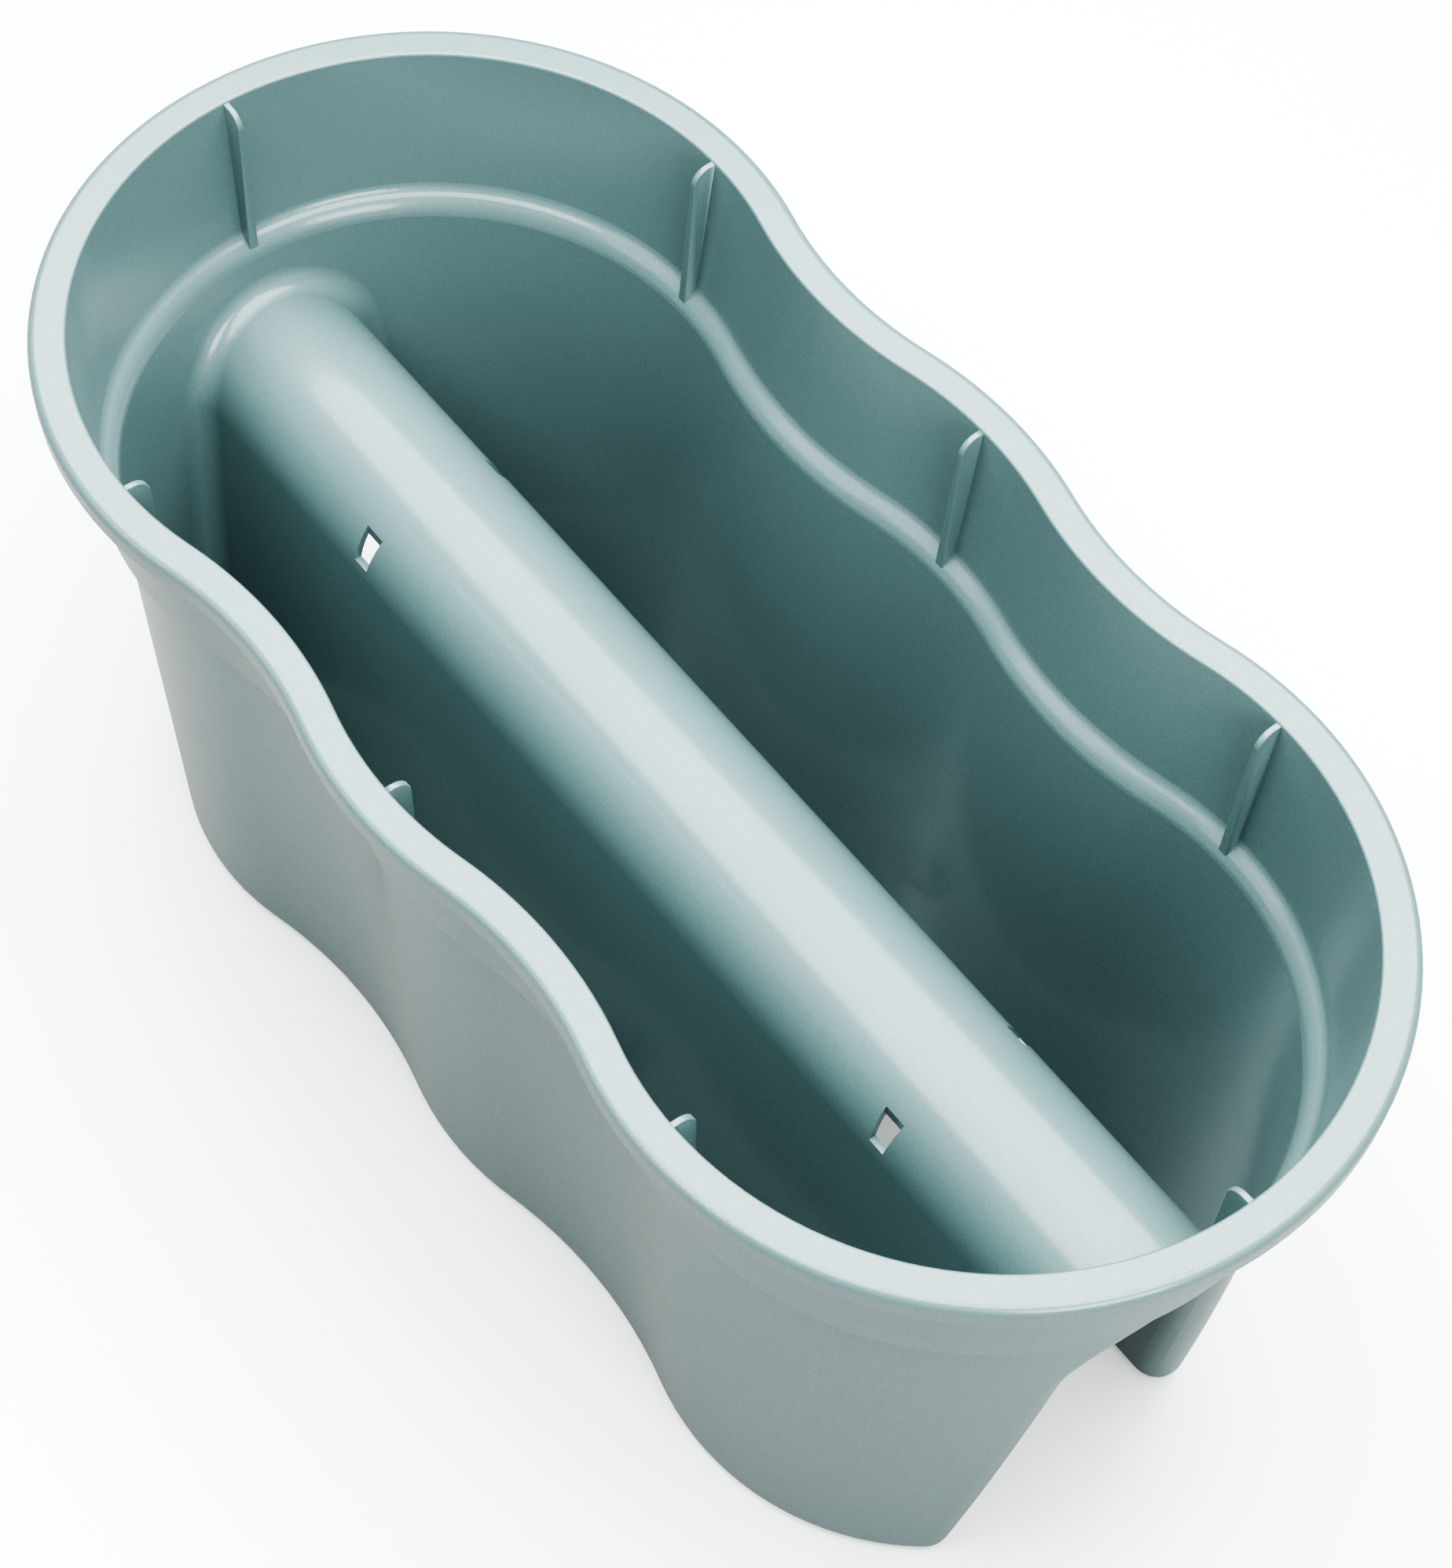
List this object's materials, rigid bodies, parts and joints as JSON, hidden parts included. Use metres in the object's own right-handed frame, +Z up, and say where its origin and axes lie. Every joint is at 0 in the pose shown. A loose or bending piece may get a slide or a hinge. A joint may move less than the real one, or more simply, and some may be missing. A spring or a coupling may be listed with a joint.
{
  "type": "rail-straddling feed trough",
  "caption": "Moulded saddle trough with a lobed rim that straddles a rail on two deep pockets, with push-in drain bungs.",
  "frame": {"origin": "on the ground under the middle of the trough", "axes": "+X along the trough and the rail, +Z up, -Y is the front"},
  "size_m": [0.6, 0.287, 0.281],
  "materials": {
    "moulding": "fine matte",
    "bung": "satin"
  },
  "bodies": {
    "trough": {"left_end_rim": "moulding", "right_end_rim": "moulding", "front_middle_rim": "moulding", "rear_middle_rim": "moulding", "left_end_upper_wall": "moulding", "right_end_upper_wall": "moulding", "front_middle_upper_wall": "moulding", "rear_middle_upper_wall": "moulding", "left_end_ledge": "moulding", "right_end_ledge": "moulding", "front_middle_ledge": "moulding", "rear_middle_ledge": "moulding", "front_left_wall": "moulding", "front_middle_wall": "moulding", "front_right_wall": "moulding", "rear_left_wall": "moulding", "rear_middle_wall": "moulding", "rear_right_wall": "moulding", "front_floor": "moulding", "rear_floor": "moulding", "saddle": "moulding", "front_left_rib": "moulding", "front_middle_rib": "moulding", "front_right_rib": "moulding", "rear_left_rib": "moulding", "rear_middle_rib": "moulding", "rear_right_rib": "moulding", "left_end_rib": "moulding", "right_end_rib": "moulding", "skirt_gussets": "moulding"},
    "front_bung": {"front_drain_bung": "bung"},
    "rear_bung": {"rear_drain_bung": "bung"}
  },
  "joints": [
    {"name": "front_bung_pull", "type": "slide", "parent": "trough", "child": "front_bung", "axis": [0, 0, 1], "range_m": [0, 0.03]},
    {"name": "rear_bung_pull", "type": "slide", "parent": "trough", "child": "rear_bung", "axis": [0, 0, 1], "range_m": [0, 0.03]}
  ]
}
